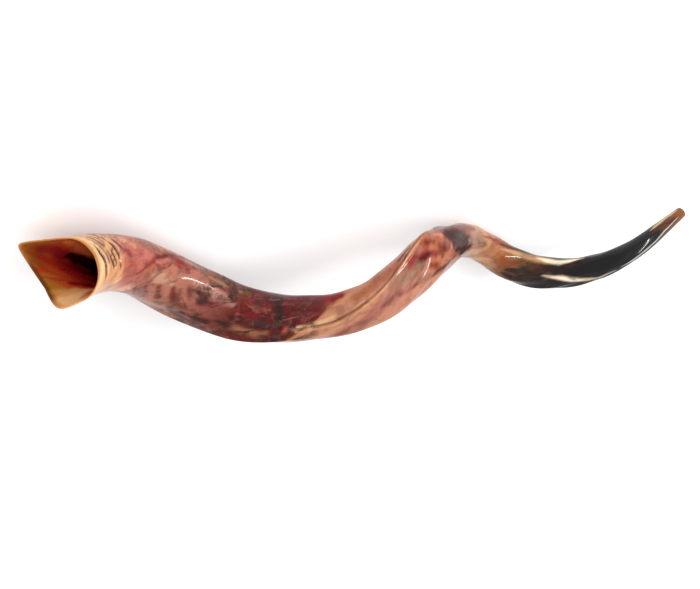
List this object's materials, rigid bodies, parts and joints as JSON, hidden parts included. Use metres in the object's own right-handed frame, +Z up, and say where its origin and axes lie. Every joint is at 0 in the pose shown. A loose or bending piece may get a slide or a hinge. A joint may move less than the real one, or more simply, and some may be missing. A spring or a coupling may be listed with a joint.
{
  "type": "shofar",
  "caption": "Long polished twisted-horn wind instrument with a flared open bell, a keel winding along the hollow body, and a straight drilled mouthpiece at the thin tip.",
  "frame": {"origin": "Bottom centre of the box round the whole horn as it lies at rest on a table.", "axes": "+X runs along the horn's length from the bell to the mouthpiece, +Z is up, +Y completes the right-handed frame; the coil turns left-handed along +X."},
  "size_m": [0.8349, 0.1464, 0.1166],
  "materials": {
    "horn_pale": "polished pinkish-tan horn with cream and crimson mottling",
    "horn_red": "polished maroon and crimson horn with tan streaks",
    "horn_dark": "polished near-black horn with cream flames",
    "horn_tip": "polished amber-brown horn"
  },
  "bodies": {
    "root": {"bell": "horn_pale", "shoulder": "horn_pale", "belly": "horn_red", "crook": "horn_red", "stem": "horn_dark", "mouthpiece": "horn_tip"}
  },
  "joints": []
}
